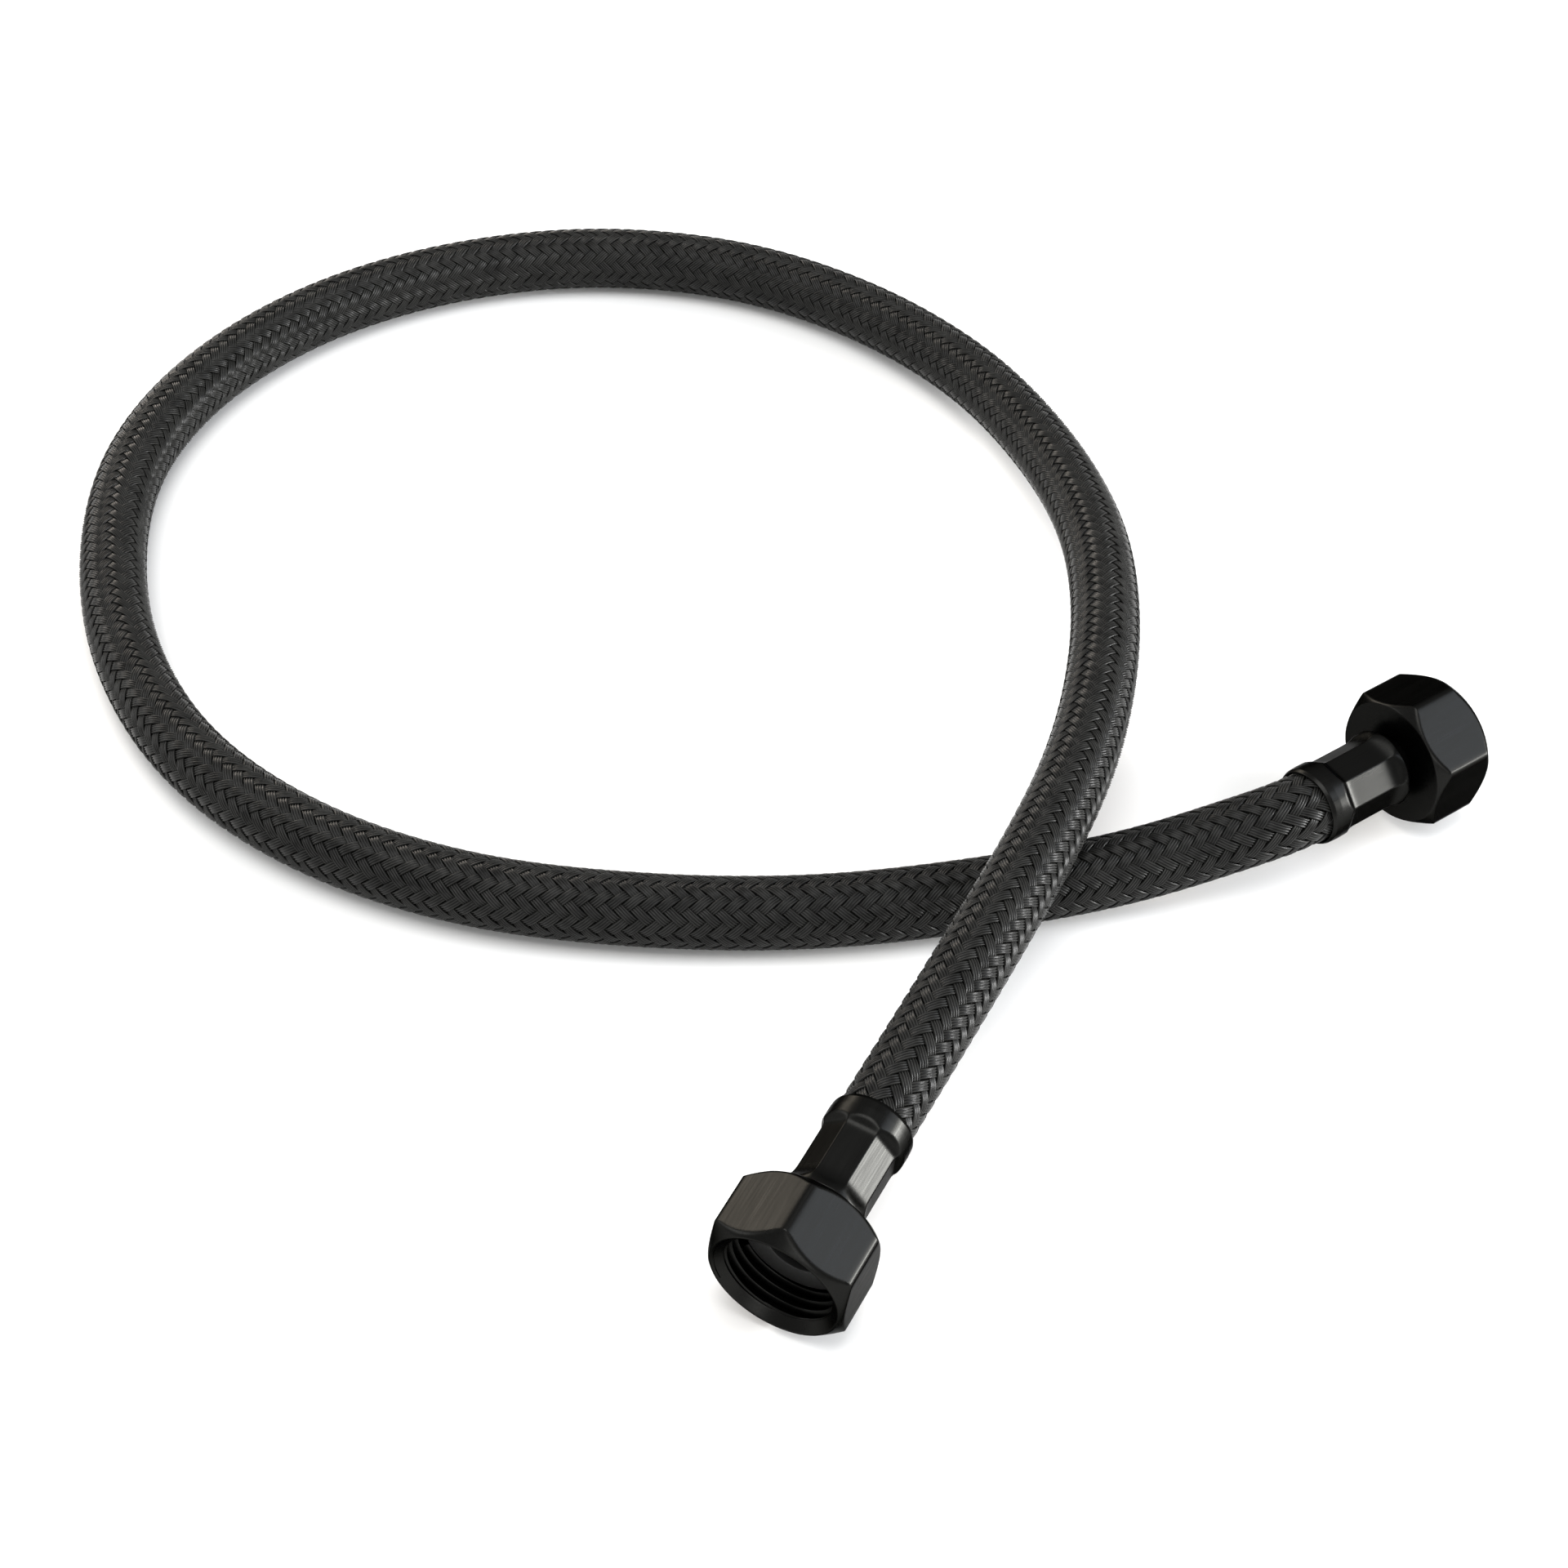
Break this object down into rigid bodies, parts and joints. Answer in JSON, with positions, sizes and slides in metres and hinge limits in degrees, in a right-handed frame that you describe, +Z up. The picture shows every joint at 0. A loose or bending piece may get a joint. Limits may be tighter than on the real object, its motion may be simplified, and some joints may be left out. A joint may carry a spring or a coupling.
{
  "type": "braided supply line",
  "caption": "Flexible water supply line: a rubber liner in a black braided sleeve, with a crimped ferrule and a swivelling hexagon nut on each end, lying in one open loop.",
  "frame": {"origin": "on the surface the line lies on, below the middle of the two end fittings", "axes": "+Z up from the surface; -Y is the heading of the front nut's mouth, +Y runs towards the rear fitting"},
  "size_m": [0.2952, 0.2682, 0.0284],
  "materials": {
    "black_metal": "satin",
    "black_brass": "satin",
    "rubber": "matt",
    "braid": "woven"
  },
  "bodies": {
    "hose": {"braid_sleeve": "braid", "inner_liner": "rubber", "front_ferrule": "black_metal", "rear_ferrule": "black_metal", "front_stem": "black_brass", "rear_stem": "black_brass"},
    "front_gasket": {"front_gasket": "rubber"},
    "front_nut": {"front_nut": "black_metal"},
    "rear_gasket": {"rear_gasket": "rubber"},
    "rear_nut": {"rear_nut": "black_metal"}
  },
  "joints": [
    {"name": "front_nut_play", "type": "slide", "parent": "hose", "child": "front_gasket", "axis": [0, -0.9945, -0.1045], "range_m": [-0.0008, 0]},
    {"name": "front_nut_swivel", "type": "hinge", "parent": "front_gasket", "child": "front_nut", "pos_m": [-0.0234, -0.0885, 0.01344], "axis": [0, -0.9945, -0.1045], "continuous": true},
    {"name": "rear_nut_play", "type": "slide", "parent": "hose", "child": "rear_gasket", "axis": [0.4384, 0.8988, 0], "range_m": [-0.0008, 0]},
    {"name": "rear_nut_swivel", "type": "hinge", "parent": "rear_gasket", "child": "rear_nut", "pos_m": [0.02543, 0.08469, 0.01372], "axis": [0.4384, 0.8988, 0], "continuous": true}
  ]
}
